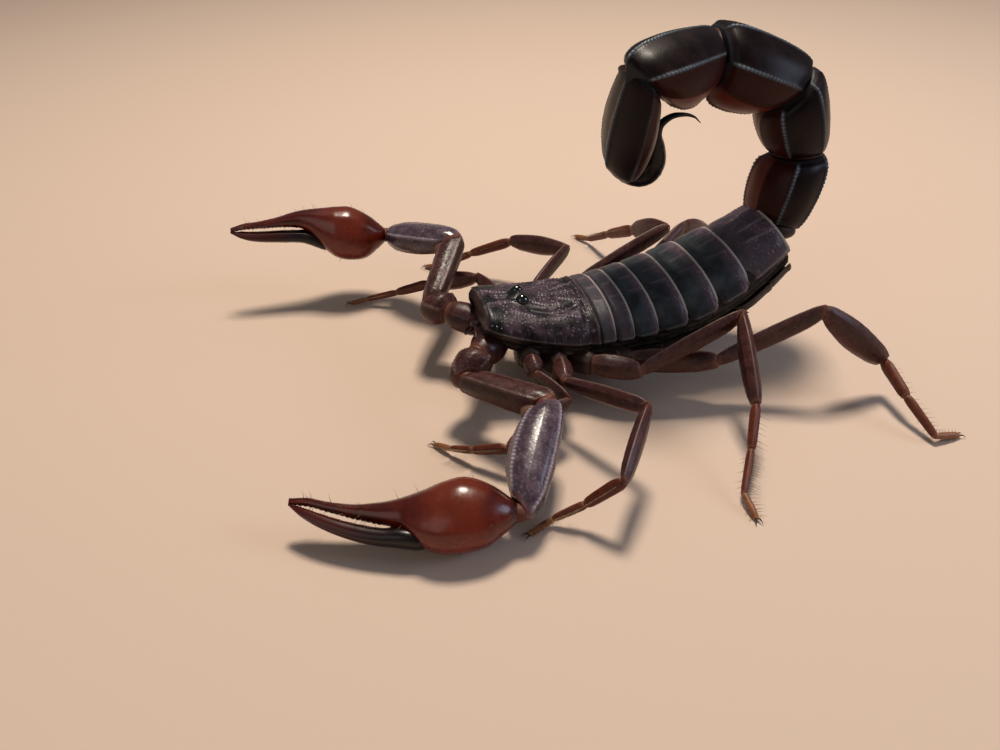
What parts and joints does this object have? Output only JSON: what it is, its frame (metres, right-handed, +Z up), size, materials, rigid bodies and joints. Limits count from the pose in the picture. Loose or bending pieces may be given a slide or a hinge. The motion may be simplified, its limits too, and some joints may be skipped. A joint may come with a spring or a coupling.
{
  "type": "scorpion model",
  "caption": "Life-size still model of a dark fat-tailed scorpion standing with its claws spread and its tail curled up over its back.",
  "frame": {"origin": "on the floor, under the middle of the model's box", "axes": "+Y towards the tail end, the head points to -Y; the animal's left side is +X; +Z up from the floor"},
  "size_m": [0.0522, 0.063, 0.0317],
  "materials": {
    "shell": "dark granular shell, satin",
    "eye": "black, polished",
    "belly": "brown, dull",
    "hand": "mahogany shell, glossy",
    "leg": "dark brown shell, satin",
    "sting": "near black shell, glossy"
  },
  "bodies": {
    "root": {"carapace": "shell", "chelicera_left": "hand", "chelicera_right": "hand", "left_chela": "hand", "left_leg_1_lower": "leg", "left_leg_1_patella": "leg", "left_leg_1_upper": "leg", "left_leg_2_lower": "leg", "left_leg_2_patella": "leg", "left_leg_2_upper": "leg", "left_leg_3_lower": "leg", "left_leg_3_patella": "leg", "left_leg_3_upper": "leg", "left_leg_4_lower": "leg", "left_leg_4_patella": "leg", "left_leg_4_upper": "leg", "left_movable_finger": "hand", "left_palp_femur": "shell", "left_palp_patella": "shell", "left_palp_trochanter": "shell", "median_eye_left": "eye", "median_eye_right": "eye", "metasoma_1": "shell", "metasoma_2": "shell", "metasoma_3": "shell", "metasoma_4": "shell", "metasoma_5": "shell", "pecten_left": "belly", "pecten_right": "belly", "right_chela": "hand", "right_leg_1_lower": "leg", "right_leg_1_patella": "leg", "right_leg_1_upper": "leg", "right_leg_2_lower": "leg", "right_leg_2_patella": "leg", "right_leg_2_upper": "leg", "right_leg_3_lower": "leg", "right_leg_3_patella": "leg", "right_leg_3_upper": "leg", "right_leg_4_lower": "leg", "right_leg_4_patella": "leg", "right_leg_4_upper": "leg", "right_movable_finger": "hand", "right_palp_femur": "shell", "right_palp_patella": "shell", "right_palp_trochanter": "shell", "telson": "sting", "tergite_1": "shell", "tergite_2": "shell", "tergite_3": "shell", "tergite_4": "shell", "tergite_5": "shell", "tergite_6": "shell", "tergite_7": "shell", "venter_front": "belly", "venter_rear": "belly"}
  },
  "joints": []
}
